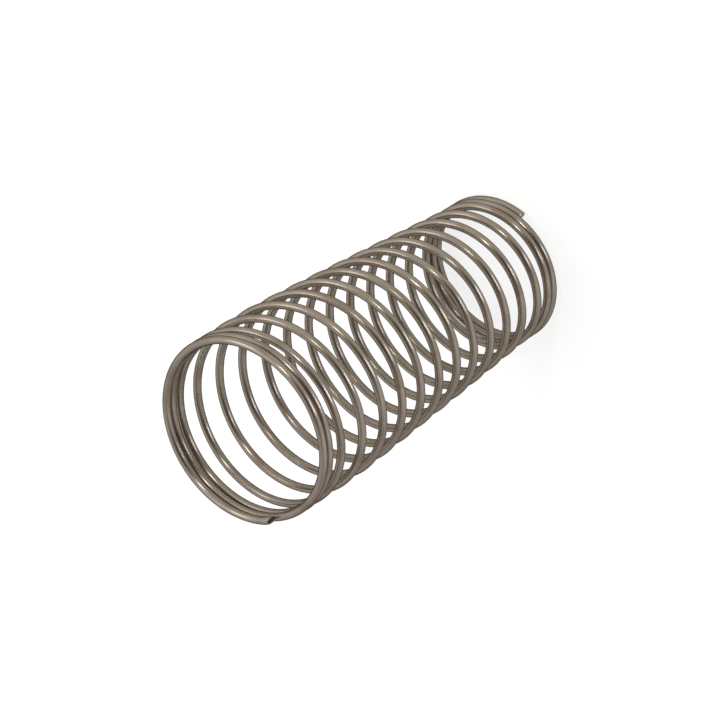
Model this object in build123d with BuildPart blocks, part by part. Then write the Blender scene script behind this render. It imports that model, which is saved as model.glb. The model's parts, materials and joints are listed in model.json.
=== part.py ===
"""Small tapered compression spring: one piece of round wire, right-handed, ends closed but not ground.

It stands on its small end. +Z runs up the coil axis, and the origin is on that axis, under the lowest coil.
A turn count says how far along the wire a place is, from the lower cut end at 0 to the upper one at total_turns.
"""

import os
from math import cos, pi, sin

from build123d import *

# Wire and coil, in millimetres
wire_diameter = 0.85
small_outside_diameter = 15.6  # over the wire, lower end
big_outside_diameter = 19.85  # over the wire, upper end
small_pitch = 2.84  # rise in one open turn where the taper starts
big_pitch = 3.49  # rise in one open turn where the taper ends
touch_gap = 0.02  # left between two turns of a closed end

# Winding, in turns
total_turns = 16.62
lower_closed_turns = 1.9
lower_opening_turns = 0.8  # over which the pitch grows from closed to open
upper_closed_turns = 1.45
upper_opening_turns = 2.05
lower_straight_turns = 2.45  # of one diameter, before the taper
upper_straight_turns = 4.5  # of one diameter, after the taper
taper_easing_turns = 0.7  # each side of where the taper starts and ends

points_per_turn = 24

wire_radius = wire_diameter / 2
small_coil_radius = small_outside_diameter / 2 - wire_radius
big_coil_radius = big_outside_diameter / 2 - wire_radius
closed_pitch = wire_diameter + touch_gap
taper_start = lower_straight_turns
taper_end = total_turns - upper_straight_turns


def smooth_step(x):
    """0 up to x = 0 and 1 from x = 1, with a smooth rise between."""
    x = min(max(x, 0), 1)
    return x * x * (3 - 2 * x)


def eased(turns):
    """Like max(turns, 0), with its corner rounded."""
    if turns <= -taper_easing_turns:
        return 0
    if turns >= taper_easing_turns:
        return turns
    return (turns + taper_easing_turns) ** 2 / (4 * taper_easing_turns)


def taper_share(turn):
    """How much of the taper lies below this turn, from 0 to 1."""
    return (eased(turn - taper_start) - eased(turn - taper_end)) / (taper_end - taper_start)


def coil_radius(turn):
    return small_coil_radius + (big_coil_radius - small_coil_radius) * taper_share(turn)


def pitch(turn):
    """Rise of the wire in a turn: closed at both ends, open and growing with the taper between."""
    open_pitch = small_pitch + (big_pitch - small_pitch) * (turn - taper_start) / (taper_end - taper_start)
    lower = smooth_step((turn - lower_closed_turns) / lower_opening_turns)
    upper = smooth_step((total_turns - turn - upper_closed_turns) / upper_opening_turns)
    return closed_pitch + (open_pitch - closed_pitch) * lower * upper


def wire_centreline():
    """Points along the middle of the wire, from the lower cut end to the upper one."""
    steps = round(total_turns * points_per_turn)
    step = total_turns / steps
    height = wire_radius
    points = []
    for index in range(steps + 1):
        turn = index * step
        angle = 2 * pi * turn
        points.append(Vector(coil_radius(turn) * cos(angle), coil_radius(turn) * sin(angle), height))
        height += pitch(turn + step / 2) * step
    return points


# The wire: one round section swept along the winding, cut square at both ends
with BuildPart() as coil_spring:
    with BuildLine() as centreline:
        Spline(*wire_centreline())
    with BuildSketch(Plane(origin=centreline.line @ 0, z_dir=centreline.line % 0)):
        Circle(wire_radius)
    sweep(is_frenet=True)

coil_spring.part.label = "coil_spring"
os.makedirs("parts", exist_ok=True)
export_step(coil_spring.part, "parts/coil_spring.step")

wire_length = centreline.wire().length
print(f"wire {wire_length:.1f} mm, volume over section x length "
      f"{coil_spring.part.volume / (pi * wire_radius**2 * wire_length):.5f}")
print(coil_spring.part.bounding_box())
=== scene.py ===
import json
from math import atan2, cos, degrees, pi, radians, sin

import bpy
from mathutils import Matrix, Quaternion, Vector


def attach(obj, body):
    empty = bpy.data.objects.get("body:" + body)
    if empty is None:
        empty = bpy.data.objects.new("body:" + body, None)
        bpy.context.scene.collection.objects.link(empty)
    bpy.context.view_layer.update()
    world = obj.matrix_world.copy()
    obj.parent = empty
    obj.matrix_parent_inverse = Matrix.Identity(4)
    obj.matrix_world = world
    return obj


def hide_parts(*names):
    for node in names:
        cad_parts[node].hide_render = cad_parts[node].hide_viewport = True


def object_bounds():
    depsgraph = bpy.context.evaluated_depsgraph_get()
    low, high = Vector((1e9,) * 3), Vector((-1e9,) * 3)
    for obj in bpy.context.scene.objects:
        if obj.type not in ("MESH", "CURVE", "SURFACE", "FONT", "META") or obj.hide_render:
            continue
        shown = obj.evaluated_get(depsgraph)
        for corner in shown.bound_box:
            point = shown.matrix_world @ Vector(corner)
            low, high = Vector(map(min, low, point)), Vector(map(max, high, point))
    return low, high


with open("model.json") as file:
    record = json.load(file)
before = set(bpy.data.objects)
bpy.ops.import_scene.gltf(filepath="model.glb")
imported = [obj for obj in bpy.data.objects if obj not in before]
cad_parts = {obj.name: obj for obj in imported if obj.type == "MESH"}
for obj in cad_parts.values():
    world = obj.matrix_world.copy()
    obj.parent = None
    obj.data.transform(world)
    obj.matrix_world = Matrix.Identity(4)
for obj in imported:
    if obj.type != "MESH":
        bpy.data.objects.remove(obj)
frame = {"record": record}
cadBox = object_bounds()
mounts = {mount["name"]: mount for mount in frame["record"]["mounts"]}

scene = bpy.context.scene
scene.view_settings.view_transform = "Standard"
mm = 0.001
white = (1, 1, 1, 1)


def deselectAll():
    bpy.ops.object.select_all(action="DESELECT")


def onlySelect(piece):
    deselectAll()
    piece.select_set(True)
    bpy.context.view_layer.objects.active = piece


def smoothStep(x):
    # 0 up to x = 0 and 1 from x = 1, with a smooth rise between
    x = min(max(x, 0), 1)
    return x * x * (3 - 2 * x)


def direction(azimuth, elevation):
    # in degrees: azimuth from +X towards +Y, elevation up from the floor
    azimuth, elevation = radians(azimuth), radians(elevation)
    return Vector((cos(elevation) * cos(azimuth), cos(elevation) * sin(azimuth), sin(elevation)))


# Short ways to wire up nodes
def addNode(tree, kind, **settings):
    node = tree.nodes.new(kind)
    for name, value in settings.items():
        setattr(node, name, value)
    return node


def feed(tree, socket, value):
    # a socket takes a plain value, or what another node puts out
    if isinstance(value, bpy.types.NodeSocket):
        tree.links.new(value, socket)
    else:
        socket.default_value = value


def calculate(tree, operation, *values):
    step = addNode(tree, "ShaderNodeMath", operation=operation)
    for socket, value in zip(step.inputs, values):
        feed(tree, socket, value)
    return step.outputs[0]


def mixColours(tree, share, first, second):
    mix = addNode(tree, "ShaderNodeMix", data_type="RGBA")
    feed(tree, mix.inputs[0], share)
    feed(tree, mix.inputs[6], first)
    feed(tree, mix.inputs[7], second)
    return mix.outputs[2]


def stretchRange(tree, value, low, high):
    # 0 up to low and 1 from high, with a smooth rise between
    ranged = addNode(tree, "ShaderNodeMapRange", interpolation_type="SMOOTHSTEP")
    for socket, setting in zip(ranged.inputs, (value, low, high)):
        feed(tree, socket, setting)
    return ranged.outputs[0]


def alongAxis(tree, place, axis):
    # how far a place or a direction reaches along an axis
    reach = addNode(tree, "ShaderNodeVectorMath", operation="DOT_PRODUCT")
    feed(tree, reach.inputs[0], place)
    reach.inputs[1].default_value = axis
    return reach.outputs["Value"]


def newGroup(name, settings):
    # a group that puts out a share from 0 to 1, with these settings until it is placed with others
    group = bpy.data.node_groups.new(name, "ShaderNodeTree")
    for label, value in settings.items():
        socket = group.interface.new_socket(name=label, in_out="INPUT", socket_type="NodeSocketFloat")
        socket.default_value = value
    group.interface.new_socket(name="Share", in_out="OUTPUT", socket_type="NodeSocketFloat")
    return group, group.nodes.new("NodeGroupInput").outputs, group.nodes.new("NodeGroupOutput").inputs


def placeGroup(tree, group, settings):
    node = addNode(tree, "ShaderNodeGroup", node_tree=group)
    for label, value in settings.items():
        node.inputs[label].default_value = value
    return node.outputs["Share"]


def newMaterial(name):
    material = bpy.data.materials.new(name)
    material.use_nodes = True
    tree = material.node_tree
    return material, tree, tree.nodes["Principled BSDF"].inputs


def raiseBump(tree, shader, height, most):
    bump = addNode(tree, "ShaderNodeBump")
    bump.inputs["Distance"].default_value = most
    feed(tree, bump.inputs["Height"], height)
    feed(tree, shader["Normal"], bump.outputs[0])


# The wire. Turns are counted along it, from the lower cut end to the upper one.
wire = {
    "turns": 16.62,
    "smallPitch": 2.84 * mm,  # rise in one open turn where the taper starts
    "bigPitch": 3.49 * mm,  # and where it ends
    "touchGap": 0.02 * mm,  # between two turns of a closed end
    "lowerClosedTurns": 1.9,
    "lowerOpeningTurns": 0.8,
    "upperClosedTurns": 1.45,
    "upperOpeningTurns": 2.05,
    "lowerStraightTurns": 2.45,
    "upperStraightTurns": 4.5,
    "taperEasingTurns": 0.7,
    "pointsPerTurn": 96,
    "lowerSpareTurns": 0.015,  # wound on at each end, and partly cut off again when the ends are made
    "upperSpareTurns": 0.02,
    "bevelSteps": 14,
    "sides": 32,  # round the wire, which is what the bevel steps give
}
smallOutside = mounts["lower_seat"]["dims"]["r_mm"] * mm
bigOutside = mounts["upper_seat"]["dims"]["r_mm"] * mm
wireRadius = (smallOutside - mounts["guide_rod"]["dims"]["r_mm"] * mm) / 2
taperStart = wire["lowerStraightTurns"]
taperEnd = wire["turns"] - wire["upperStraightTurns"]


def eased(turns):
    # like max(turns, 0), with its corner rounded
    easing = wire["taperEasingTurns"]
    if turns <= -easing:
        return 0
    if turns >= easing:
        return turns
    return (turns + easing) ** 2 / (4 * easing)


def coilRadius(turn):
    share = (eased(turn - taperStart) - eased(turn - taperEnd)) / (taperEnd - taperStart)
    return smallOutside + (bigOutside - smallOutside) * share - wireRadius


def pitchAt(turn):
    closed = 2 * wireRadius + wire["touchGap"]
    share = (turn - taperStart) / (taperEnd - taperStart)
    opened = wire["smallPitch"] + (wire["bigPitch"] - wire["smallPitch"]) * share
    lower = smoothStep((turn - wire["lowerClosedTurns"]) / wire["lowerOpeningTurns"])
    upper = smoothStep((wire["turns"] - turn - wire["upperClosedTurns"]) / wire["upperOpeningTurns"])
    return closed + (opened - closed) * lower * upper


def wireMiddle():
    # points along the middle of the wire, from a little before its lower end to a little past its upper one
    steps = round(wire["turns"] * wire["pointsPerTurn"])
    step = wire["turns"] / steps
    lowest = -wire["lowerSpareTurns"]
    highest = wire["turns"] + wire["upperSpareTurns"]
    turns = [lowest] + [index * step for index in range(steps)] + [highest]
    height = wireRadius + pitchAt(0) * lowest
    points = []
    for turn, nextTurn in zip(turns, turns[1:] + turns[-1:]):
        radius = coilRadius(turn)
        points.append(Vector((radius * cos(2 * pi * turn), radius * sin(2 * pi * turn), height)))
        height += pitchAt((turn + nextTurn) / 2) * (nextTurn - turn)
    return points


def windWire(points):
    deselectAll()
    bpy.ops.curve.primitive_nurbs_path_add(location=(0, 0, 0))
    piece = bpy.context.object
    piece.name = "springWire"
    line = piece.data
    line.splines.clear()
    spline = line.splines.new("POLY")
    spline.points.add(len(points) - 1)
    for place, point in zip(points, spline.points):
        point.co = (*place, 1)
    line.dimensions = "3D"
    line.twist_mode = "Z_UP"  # keeps the same side of the wire outwards, all along
    line.bevel_depth = wireRadius
    line.bevel_resolution = wire["bevelSteps"]
    bpy.ops.object.convert(target="MESH")
    return piece


middleLine = wireMiddle()
wireLength = sum((b - a).length for a, b in zip(middleLine, middleLine[1:]))
coil = windWire(middleLine)
print("wire wound:", round(wireLength / mm, 1), "mm")

# Each cut end has a rounded rim, a smooth band where the blade went in, and a rougher middle that broke off
cutEnd = {
    "upper": {
        "spareTurns": wire["upperSpareTurns"],
        "past": 0.27 * mm,  # how far the end lies beyond the counted turns
        "slant": 48,  # degrees by which the cut faces away from the coil axis
        "rise": 37,  # degrees by which that side of it faces upward
        "middleSlot": 2,
        "seed": 4,
    },
    "lower": {
        "spareTurns": wire["lowerSpareTurns"],
        "past": 0.2 * mm,
        "slant": 0,
        "rise": 0,
        "middleSlot": 1,
        "seed": 9,
    },
    "bandSlot": 1,
    "fewestCorners": 9,  # of the face that closes a cut, where the wire's own faces have four
    "rim": 0.045 * mm,
    "rimSteps": 3,
    "band": 0.04 * mm,
    "step": 0.02 * mm,  # width of the slope from the band to the middle
    "sink": 0.035 * mm,  # how far the middle lies behind the band
    "rings": 2,  # of small faces across the middle
    "ringWidth": 0.1 * mm,
    "roughness": 0.012 * mm,
    "smoothAngle": 38,  # sharper edges than this stay sharp
}


def pickFaces(piece, faces):
    # only these are selected, in edit mode
    bpy.ops.object.mode_set(mode="EDIT")
    bpy.ops.mesh.select_mode(type="FACE")
    bpy.ops.mesh.select_all(action="DESELECT")
    bpy.ops.object.mode_set(mode="OBJECT")
    for index in faces:
        piece.data.polygons[index].select = True
    bpy.ops.object.mode_set(mode="EDIT")


def cutWire(piece, endPoints, last, beforeLast, end):
    # last and beforeLast are the end's own points in the middle of the wire
    onlySelect(piece)
    faces = piece.data.polygons
    pickFaces(piece, [face.index for face in faces if all(point in endPoints for point in face.vertices)])
    forward = (last - beforeLast).normalized()
    spare = end["spareTurns"] * 2 * pi * last.xy.length
    place = last - forward * (spare - end["past"])
    outward = direction(degrees(atan2(place.y, place.x)), end["rise"])
    slant = radians(end["slant"])
    facing = forward * cos(slant) + outward * sin(slant)
    bpy.ops.mesh.bisect(plane_co=place, plane_no=facing, use_fill=True, clear_outer=True)
    bpy.ops.mesh.bevel(offset=cutEnd["rim"], segments=cutEnd["rimSteps"], affect="EDGES")
    bpy.ops.object.mode_set(mode="OBJECT")
    faces = piece.data.polygons
    pickFaces(piece, [face.index for face in faces if len(face.vertices) >= cutEnd["fewestCorners"]])
    piece.active_material_index = cutEnd["bandSlot"]
    bpy.ops.object.material_slot_assign()
    bpy.ops.mesh.inset(thickness=cutEnd["band"])
    piece.active_material_index = end["middleSlot"]
    bpy.ops.mesh.inset(thickness=cutEnd["step"], depth=-cutEnd["sink"])
    bpy.ops.object.material_slot_assign()
    for count in range(cutEnd["rings"]):
        bpy.ops.mesh.inset(thickness=cutEnd["ringWidth"], use_even_offset=False)
        bpy.ops.transform.vertex_random(offset=cutEnd["roughness"], seed=end["seed"] + count)
    bpy.ops.mesh.poke()
    bpy.ops.object.mode_set(mode="OBJECT")


# Finishes. A pattern's settings go to its group as they stand.
steelLook = {
    "olive": (0.302, 0.268, 0.212, 1),
    "rose": (0.308, 0.256, 0.220, 1),
    "oxide": (0.205, 0.155, 0.108, 1),  # faint brown left by the heat treatment
    "pit": (0.07, 0.055, 0.042, 1),
    "coarseLines": {"Fineness": 7, "Stretch": 40, "Detail": 2, "Low": 0.35, "High": 0.65},
    "fineLines": {"Fineness": 20, "Stretch": 70, "Detail": 1, "Low": 0.38, "High": 0.62},
    "drift": {"Fineness": 0.5, "Stretch": 4, "Detail": 3, "Low": 0.34, "High": 0.66},  # from olive to rose
    "oxideSpots": {"Size": 3.5, "Detail": 4, "Low": 0.5, "High": 0.68},
    "pitSpots": {"Size": 0.12, "Detail": 1, "Low": 0.72, "High": 0.78},
    "oxideMost": 0.45,  # share of its colour where it is thickest
    "coarseDark": 0.12,
    "pitDark": 0.35,
    "roughness": 0.22,  # to which the patterns add these
    "coarseRough": 0.04,
    "fineRough": 0.02,
    "oxideRough": 0.05,
    "pitRough": 0.08,
    "lineHeight": 0.00012 * mm,
    "fineHeight": 0.35,  # share of the coarse lines' height
    "anisotropy": 0.75,
    "quarterTurn": 0.25,  # lays the gloss across the lines
    "edgeTint": (0.08, 0.07, 0.06, 1),
}
cutLook = {
    "band": {
        "light": (0.36, 0.335, 0.30, 1),
        "dark": (0.22, 0.19, 0.16, 1),
        "roughness": 0.34,
        "size": 0.2,  # of its patches, in mm
        "height": 0.002 * mm,
    },
    # near black, far darker than the band; only the upper cut's middle gets it, and the lower cut's middle
    # has the band's colour
    "middle": {
        "light": (0.075, 0.058, 0.042, 1),
        "dark": (0.025, 0.018, 0.012, 1),
        "roughness": 0.55,
        "size": 0.15,
        "height": 0.008 * mm,
    },
    "patches": {"Detail": 3, "Low": 0.35, "High": 0.65},
    "grit": {"Detail": 2, "Low": 0.4, "High": 0.6},
    "gritSize": 0.25,  # shares of what the patches have
    "gritHeight": 0.4,
    "gritRough": 0.15,
}


def spreadNoise(group, given, out, place, scale):
    noise = addNode(group, "ShaderNodeTexNoise")
    feed(group, noise.inputs["Vector"], place)
    feed(group, noise.inputs["Scale"], scale)
    feed(group, noise.inputs["Detail"], given["Detail"])
    feed(group, out["Share"], stretchRange(group, noise.outputs[0], given["Low"], given["High"]))


def buildDrawnLines():
    # streaks along the wire: how fine they are, per mm round it, and how many times longer than wide
    group, given, out = newGroup("drawnLines", steelLook["coarseLines"])
    place = addNode(group, "ShaderNodeSeparateXYZ")
    feed(group, place.inputs[0], addNode(group, "ShaderNodeUVMap", uv_map="UVMap").outputs[0])
    angle = calculate(group, "MULTIPLY", place.outputs["Y"], 2 * pi)
    along = calculate(group, "MULTIPLY", place.outputs["X"], wireLength / mm)
    spot = addNode(group, "ShaderNodeCombineXYZ")
    for socket, operation in zip(spot.inputs, ("COSINE", "SINE")):
        turned = calculate(group, operation, angle)
        feed(group, socket, calculate(group, "MULTIPLY", turned, wireRadius / mm))
    feed(group, spot.inputs[2], calculate(group, "DIVIDE", along, given["Stretch"]))
    spreadNoise(group, given, out, spot.outputs[0], given["Fineness"])
    return group


def buildGrain():
    # specks and patches of any size, in mm, the same way on every piece of the surface
    group, given, out = newGroup("metalGrain", steelLook["oxideSpots"])
    place = addNode(group, "ShaderNodeTexCoord").outputs["Object"]
    spreadNoise(group, given, out, place, calculate(group, "DIVIDE", 1 / mm, given["Size"]))
    return group


drawnLines = buildDrawnLines()
metalGrain = buildGrain()


def makeDrawnSteel():
    material, tree, shader = newMaterial("drawnSpringSteel")
    look = steelLook
    coarse = placeGroup(tree, drawnLines, look["coarseLines"])
    fine = placeGroup(tree, drawnLines, look["fineLines"])
    drift = placeGroup(tree, drawnLines, look["drift"])
    oxide = placeGroup(tree, metalGrain, look["oxideSpots"])
    pits = placeGroup(tree, metalGrain, look["pitSpots"])

    colour = mixColours(tree, drift, look["olive"], look["rose"])
    for pattern, most, stain in (
        (oxide, "oxideMost", "oxide"),
        (coarse, "coarseDark", "pit"),
        (pits, "pitDark", "pit"),
    ):
        share = calculate(tree, "MULTIPLY", pattern, look[most])
        colour = mixColours(tree, share, colour, look[stain])
    feed(tree, shader["Base Color"], colour)

    rough = look["roughness"]
    for pattern, added in (
        (coarse, "coarseRough"),
        (fine, "fineRough"),
        (oxide, "oxideRough"),
        (pits, "pitRough"),
    ):
        rough = calculate(tree, "MULTIPLY_ADD", pattern, look[added], rough)
    feed(tree, shader["Roughness"], rough)

    lines = calculate(tree, "MULTIPLY_ADD", fine, look["fineHeight"], coarse)
    raiseBump(tree, shader, calculate(tree, "SUBTRACT", lines, pits), look["lineHeight"])
    shader["Metallic"].default_value = 1
    shader["Anisotropic"].default_value = look["anisotropy"]
    shader["Anisotropic Rotation"].default_value = look["quarterTurn"]
    shader["Specular Tint"].default_value = look["edgeTint"]
    return material


def makeCutSteel(name, look):
    material, tree, shader = newMaterial(name)
    patches = placeGroup(tree, metalGrain, {"Size": look["size"], **cutLook["patches"]})
    grit = placeGroup(tree, metalGrain, {"Size": look["size"] * cutLook["gritSize"], **cutLook["grit"]})
    feed(tree, shader["Base Color"], mixColours(tree, patches, look["light"], look["dark"]))
    rough = calculate(tree, "MULTIPLY_ADD", grit, cutLook["gritRough"], look["roughness"])
    feed(tree, shader["Roughness"], rough)
    height = calculate(tree, "MULTIPLY_ADD", grit, cutLook["gritHeight"], patches)
    raiseBump(tree, shader, height, look["height"])
    shader["Metallic"].default_value = 1
    return material


# cutEnd names these slots by their number, from 0
coil.data.materials.clear()
coil.data.materials.append(makeDrawnSteel())
coil.data.materials.append(makeCutSteel("cutBand", cutLook["band"]))
coil.data.materials.append(makeCutSteel("cutMiddle", cutLook["middle"]))

# The upper end is cut first, because a cut changes the numbers of the points.
# Each cut is made in the faces between the last two rings of points.
pointCount = len(coil.data.vertices)
twoRings = 2 * wire["sides"]
cutWire(coil, range(pointCount - twoRings, pointCount), middleLine[-1], middleLine[-2], cutEnd["upper"])
cutWire(coil, range(twoRings), middleLine[0], middleLine[1], cutEnd["lower"])
onlySelect(coil)
bpy.ops.object.mode_set(mode="EDIT")
bpy.ops.mesh.select_all(action="SELECT")
bpy.ops.mesh.normals_make_consistent(inside=False)
bpy.ops.object.mode_set(mode="OBJECT")
bpy.ops.object.shade_smooth_by_angle(angle=radians(cutEnd["smoothAngle"]))
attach(coil, "root")
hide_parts("coil_spring")
print("ends cut:", len(coil.data.polygons), "faces")

# Floor. What the camera and the metal see of it is lifted towards white, and its shadow stays.
# The metal sees it warm on one side of the coil and cool on the other.
floorSetup = {
    "width": 3.0,
    "colour": (0.3, 0.3, 0.3, 1),
    "roughness": 0.9,
    "cameraLift": 0.78,
    "glossLift": 0.68,
    "warm": (1.02, 1, 0.9, 1),
    "cool": (0.95, 1, 1.09, 1),
    "warmAzimuth": 70,
    "blend": 0.012,  # metres to each side of the origin
}


def layFloor():
    deselectAll()
    bpy.ops.mesh.primitive_plane_add(size=floorSetup["width"], location=(0, 0, 0))
    floor = bpy.context.object
    floor.name = "studioFloor"
    material, tree, shader = newMaterial("paleFloor")
    shader["Base Color"].default_value = floorSetup["colour"]
    shader["Roughness"].default_value = floorSetup["roughness"]
    shader["Specular IOR Level"].default_value = 0
    path = addNode(tree, "ShaderNodeLightPath").outputs
    place = addNode(tree, "ShaderNodeTexCoord").outputs["Object"]
    across = alongAxis(tree, place, direction(floorSetup["warmAzimuth"], 0))
    warmth = stretchRange(tree, across, -floorSetup["blend"], floorSetup["blend"])
    tint = mixColours(tree, warmth, floorSetup["cool"], floorSetup["warm"])
    feed(tree, shader["Emission Color"], mixColours(tree, path["Is Glossy Ray"], white, tint))
    gloss = calculate(tree, "MULTIPLY", path["Is Glossy Ray"], floorSetup["glossLift"])
    lift = calculate(tree, "MULTIPLY_ADD", path["Is Camera Ray"], floorSetup["cameraLift"], gloss)
    feed(tree, shader["Emission Strength"], lift)
    floor.data.materials.append(material)


layFloor()

# Lamps, round discs in the studio. Distance and size are in metres.
lamps = {
    "keyLamp": {
        "azimuth": 9,
        "elevation": 53,
        "distance": 0.6,
        "size": 0.08,
        "watts": 0.43,
        "colour": (0.94, 1, 1.02),
    },
    "sideLamp": {  # low and near, for the thin line on the inner edges
        "azimuth": -41.5,
        "elevation": -4.5,
        "distance": 0.18,
        "size": 0.062,
        "watts": 0.083,
        "colour": (0.95, 1, 1.08),
    },
    "backLamp": {
        "azimuth": 80,
        "elevation": 53,
        "distance": 0.6,
        "size": 0.2,
        "watts": 0.22,
        "colour": (1, 1, 1),
    },
}
middle = Vector((0, 0, (cadBox[0][2] + cadBox[1][2]) / 2))

for name, lamp in lamps.items():
    away = direction(lamp["azimuth"], lamp["elevation"])
    bpy.ops.object.light_add(type="AREA", location=middle + away * lamp["distance"])
    light = bpy.context.object
    light.name = name
    light.data.shape = "DISK"
    light.data.size = lamp["size"]
    light.data.energy = lamp["watts"]
    light.data.color = lamp["colour"]
    light.rotation_euler = away.to_track_quat("Z", "Y").to_euler()

# The dome is a pale tent, with two brighter patches, and a dim brown opening in front
dome = {
    "level": 0.76,
    "tilt": (0.12, 0.24, 0.28),  # how the level changes towards +X, +Y and up
    "glows": [
        {"azimuth": 98, "elevation": 63, "spread": 12, "amount": 0.8},
        {"azimuth": -80, "elevation": 13, "spread": 22, "amount": 0.8},
    ],
    "opening": {"azimuth": -45, "elevation": 51, "spread": 24, "amount": -1.06},
    "openingColour": (1, 0.82, 0.66, 1),
}


def hangDome():
    world = bpy.data.worlds.new("softDome")
    scene.world = world
    world.use_nodes = True
    tree = world.node_tree
    place = addNode(tree, "ShaderNodeTexCoord").outputs["Generated"]

    def patch(glow):
        # 1 in its middle and fading all round
        tightness = 1 / radians(glow["spread"]) ** 2
        facing = alongAxis(tree, place, direction(glow["azimuth"], glow["elevation"]))
        return calculate(tree, "EXPONENT", calculate(tree, "MULTIPLY_ADD", facing, tightness, -tightness))

    level = calculate(tree, "ADD", alongAxis(tree, place, dome["tilt"]), dome["level"])
    for glow in dome["glows"]:
        level = calculate(tree, "MULTIPLY_ADD", patch(glow), glow["amount"], level)
    opening = patch(dome["opening"])
    level = calculate(tree, "MULTIPLY_ADD", opening, dome["opening"]["amount"], level)
    background = tree.nodes["Background"].inputs
    feed(tree, background["Strength"], calculate(tree, "MAXIMUM", level, 0))
    feed(tree, background["Color"], mixColours(tree, opening, white, dome["openingColour"]))


hangDome()
print("studio lit")

# Camera. Aim and distance are in metres, lens and sensor in millimetres.
view = {
    "aim": (-0.0012, 0.00013, 0.02286),
    "azimuth": -25.12,
    "elevation": 44.33,
    "roll": -122.76,
    "distance": 0.7456,
    "lens": 375,
    "sensor": 36,
    "nearest": 0.01,
}
away = direction(view["azimuth"], view["elevation"])
bpy.ops.object.camera_add(location=Vector(view["aim"]) + away * view["distance"])
camera = bpy.context.object
camera.name = "mainCamera"
camera.data.lens = view["lens"]
camera.data.sensor_width = view["sensor"]
camera.data.clip_start = view["nearest"]
camera.rotation_mode = "QUATERNION"
camera.rotation_quaternion = away.to_track_quat("Z", "Y") @ Quaternion((0, 0, 1), radians(view["roll"]))
scene.camera = camera
